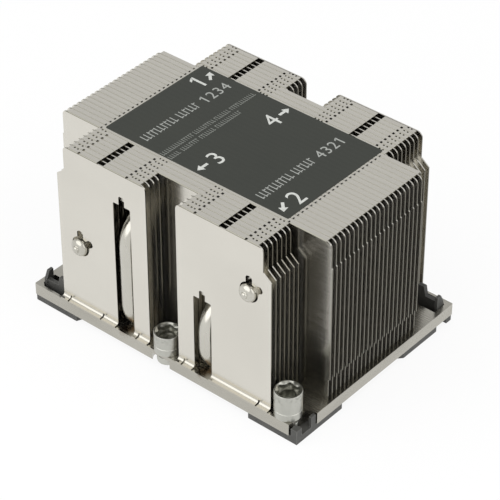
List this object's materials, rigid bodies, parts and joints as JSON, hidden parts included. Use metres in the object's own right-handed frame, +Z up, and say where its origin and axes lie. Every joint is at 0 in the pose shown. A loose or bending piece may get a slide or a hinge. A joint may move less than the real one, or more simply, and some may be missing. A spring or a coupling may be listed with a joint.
{
  "type": "passive server cpu heatsink",
  "caption": "Rectangular passive cooler with a stack of folded fins crossed by C-shaped heat pipes, on a grooved plate with captive nuts and a clip frame below.",
  "frame": {"origin": "middle of the outline, at the underside of the carrier frame", "axes": "+X along the plate's long side, +Y along its short side from the face where the two inner pipes bend towards the face where the two outer ones bend, +Z up from the plate to the fin tops"},
  "size_m": [0.1086, 0.0806, 0.0663],
  "materials": {
    "base_plate": "nickel-plated copper, machined satin",
    "captive_nut": "turned steel, nickel plated",
    "carrier": "moulded black, fine texture",
    "fin_sheet": "nickel-plated sheet, satin with a soft shine",
    "heat_pipe": "nickel-plated copper tube, smooth",
    "label": "printed film, matt",
    "thermal_compound": "printed paste, matt"
  },
  "bodies": {
    "cooler": {"base_plate": "base_plate", "carrier": "carrier", "fin_01_left": "fin_sheet", "fin_01_right": "fin_sheet", "fin_02_left": "fin_sheet", "fin_02_right": "fin_sheet", "fin_03_left": "fin_sheet", "fin_03_right": "fin_sheet", "fin_04_left": "fin_sheet", "fin_04_right": "fin_sheet", "fin_05": "fin_sheet", "fin_06": "fin_sheet", "fin_07": "fin_sheet", "fin_08": "fin_sheet", "fin_09": "fin_sheet", "fin_10": "fin_sheet", "fin_11": "fin_sheet", "fin_12": "fin_sheet", "fin_13": "fin_sheet", "fin_14": "fin_sheet", "fin_15": "fin_sheet", "fin_16": "fin_sheet", "fin_17": "fin_sheet", "fin_18": "fin_sheet", "fin_19": "fin_sheet", "fin_20": "fin_sheet", "fin_21": "fin_sheet", "fin_22": "fin_sheet", "fin_23": "fin_sheet", "fin_24": "fin_sheet", "fin_25": "fin_sheet", "fin_26": "fin_sheet", "fin_27": "fin_sheet", "fin_28": "fin_sheet", "fin_29": "fin_sheet", "fin_30": "fin_sheet", "fin_31": "fin_sheet", "fin_32": "fin_sheet", "fin_33": "fin_sheet", "fin_34_left": "fin_sheet", "fin_34_right": "fin_sheet", "fin_35_left": "fin_sheet", "fin_35_right": "fin_sheet", "fin_36_left": "fin_sheet", "fin_36_right": "fin_sheet", "fin_37_left": "fin_sheet", "fin_37_right": "fin_sheet", "fin_38_left": "fin_sheet", "fin_38_right": "fin_sheet", "heat_pipe_1": "heat_pipe", "heat_pipe_2": "heat_pipe", "heat_pipe_3": "heat_pipe", "heat_pipe_4": "heat_pipe", "label": "label", "thermal_compound": "thermal_compound"},
    "nut_1": {"captive_nut_1": "captive_nut"},
    "nut_2": {"captive_nut_2": "captive_nut"},
    "nut_3": {"captive_nut_3": "captive_nut"},
    "nut_4": {"captive_nut_4": "captive_nut"}
  },
  "joints": [
    {"name": "nut_1_turn", "type": "hinge", "parent": "cooler", "child": "nut_1", "pos_m": [-0.0475, 0.0349, 0.0066], "axis": [0, 0, 1], "continuous": true},
    {"name": "nut_2_turn", "type": "hinge", "parent": "cooler", "child": "nut_2", "pos_m": [0.0475, -0.0349, 0.0066], "axis": [0, 0, 1], "continuous": true},
    {"name": "nut_3_turn", "type": "hinge", "parent": "cooler", "child": "nut_3", "pos_m": [0, -0.0357, 0.0066], "axis": [0, 0, 1], "continuous": true},
    {"name": "nut_4_turn", "type": "hinge", "parent": "cooler", "child": "nut_4", "pos_m": [0, 0.0357, 0.0066], "axis": [0, 0, 1], "continuous": true}
  ]
}
